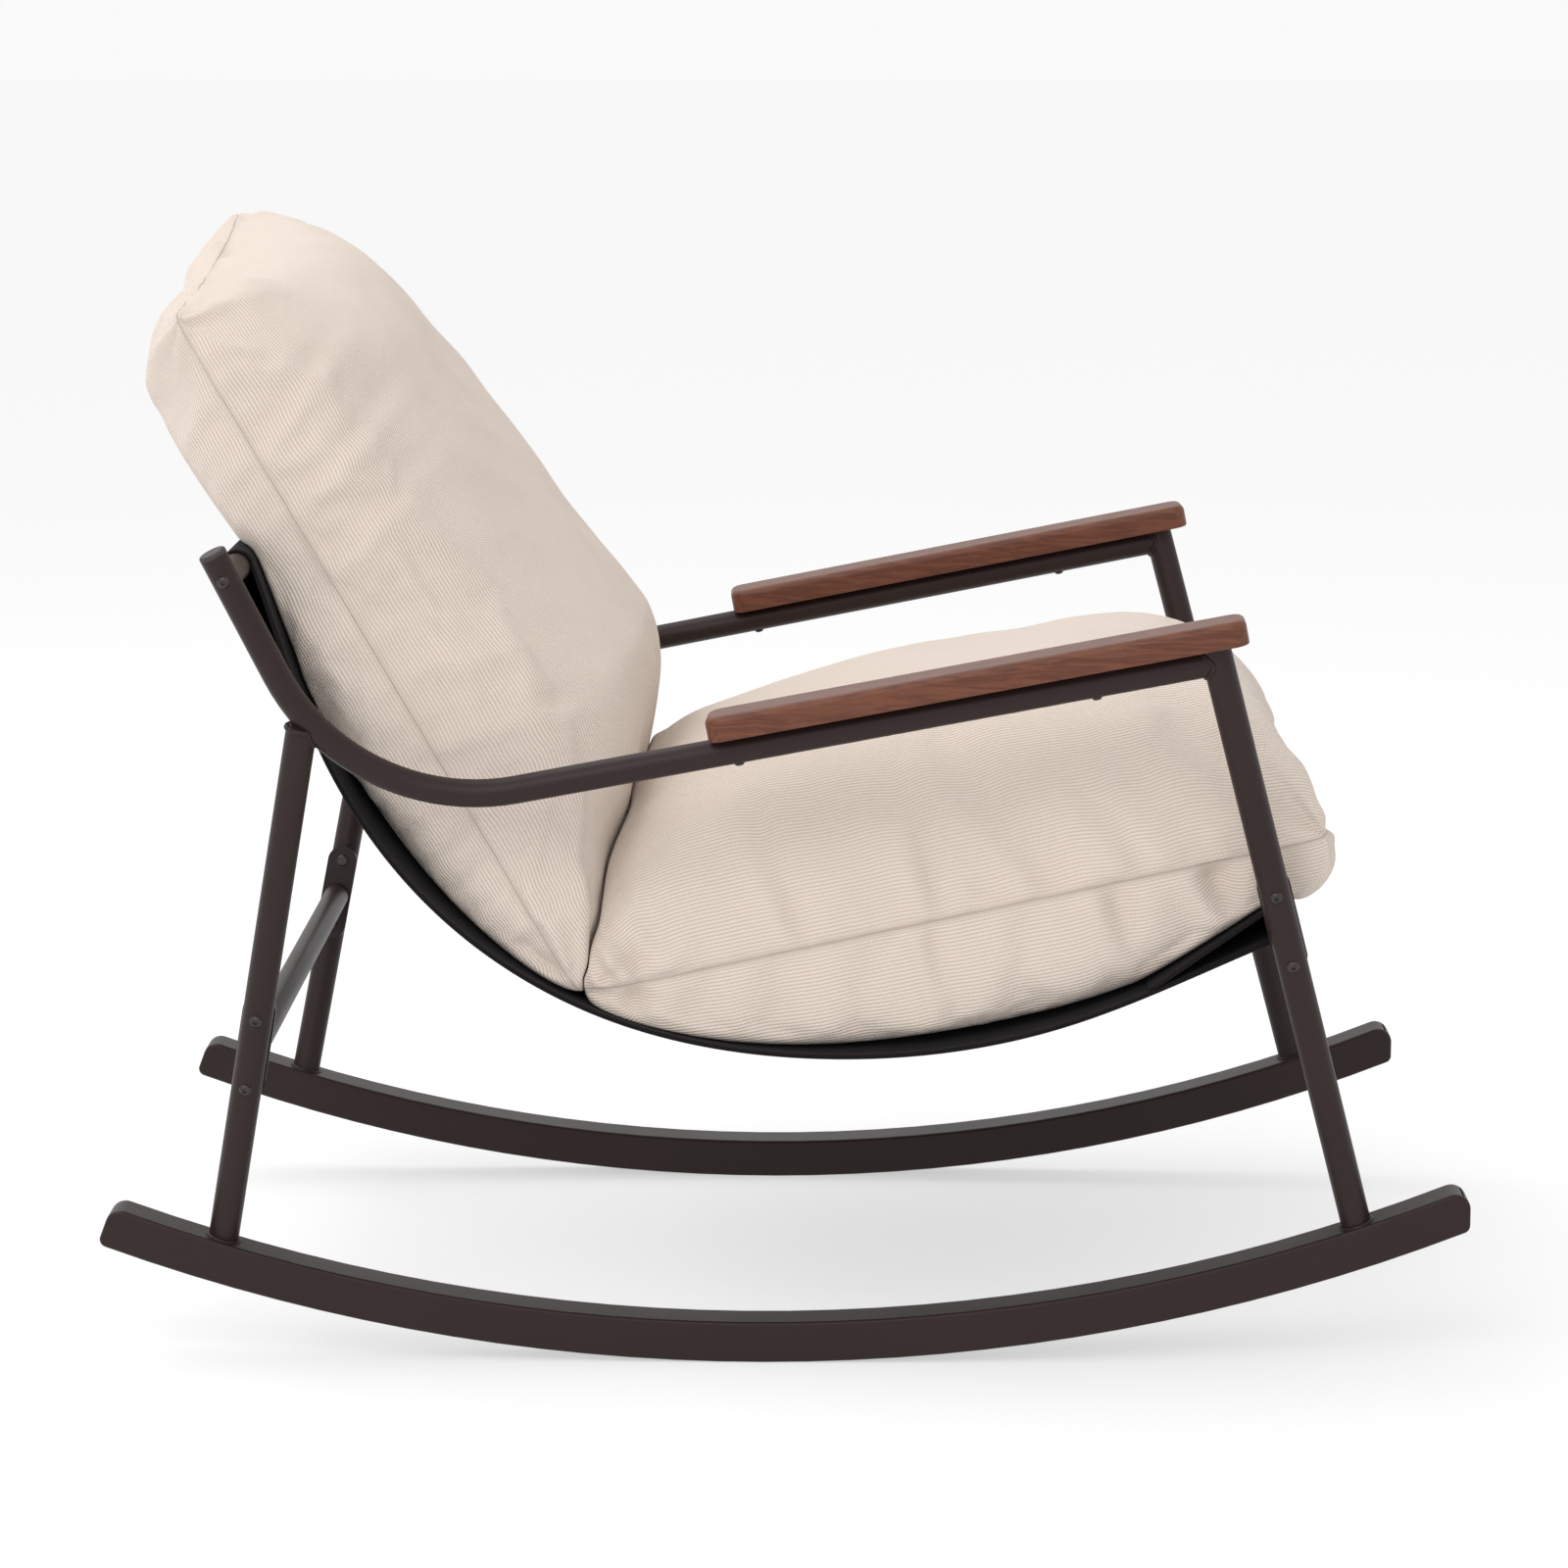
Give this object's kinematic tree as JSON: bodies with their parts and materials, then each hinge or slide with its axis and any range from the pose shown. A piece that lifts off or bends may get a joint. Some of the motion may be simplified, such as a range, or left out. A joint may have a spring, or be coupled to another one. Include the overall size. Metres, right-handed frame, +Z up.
{
  "type": "platform rocker",
  "caption": "Rocking lounge chair: a leaning tube frame on two curved runners carries a slung cloth seat with a seat cushion and a back cushion, and wooden armrests.",
  "frame": {"origin": "on the floor under the middle of the chair's box", "axes": "+Z up, +X the way the sitter faces, +Y the sitter's left"},
  "size_m": [0.9923, 0.7298, 0.7966],
  "materials": {
    "frame_metal": "satin dark bronze paint",
    "fastener_steel": "dark bolt heads",
    "plug_plastic": "matt dark plastic",
    "walnut": "satin walnut",
    "sling_canvas": "black canvas",
    "cushion_fabric": "light ribbed linen weave"
  },
  "bodies": {
    "root": {"arm_tube_left": "frame_metal", "arm_tube_plug_left": "plug_plastic", "arm_tube_plug_right": "plug_plastic", "arm_tube_right": "frame_metal", "armrest_left": "walnut", "armrest_right": "walnut", "armrest_screws_left": "fastener_steel", "armrest_screws_right": "fastener_steel", "back_cushion": "cushion_fabric", "front_leg_left": "frame_metal", "front_leg_right": "frame_metal", "front_rail": "frame_metal", "front_rail_bolts": "fastener_steel", "front_rail_plate_left": "frame_metal", "front_rail_plate_right": "frame_metal", "rear_leg_left": "frame_metal", "rear_leg_right": "frame_metal", "rear_rail": "frame_metal", "rear_rail_bolts": "fastener_steel", "rear_rail_plate_left": "frame_metal", "rear_rail_plate_right": "frame_metal", "runner_left": "frame_metal", "runner_right": "frame_metal", "seat_cushion": "cushion_fabric", "sling": "sling_canvas", "top_rail": "frame_metal", "top_rail_bolts": "fastener_steel", "top_rail_plug_left": "fastener_steel", "top_rail_plug_right": "fastener_steel"}
  },
  "joints": []
}
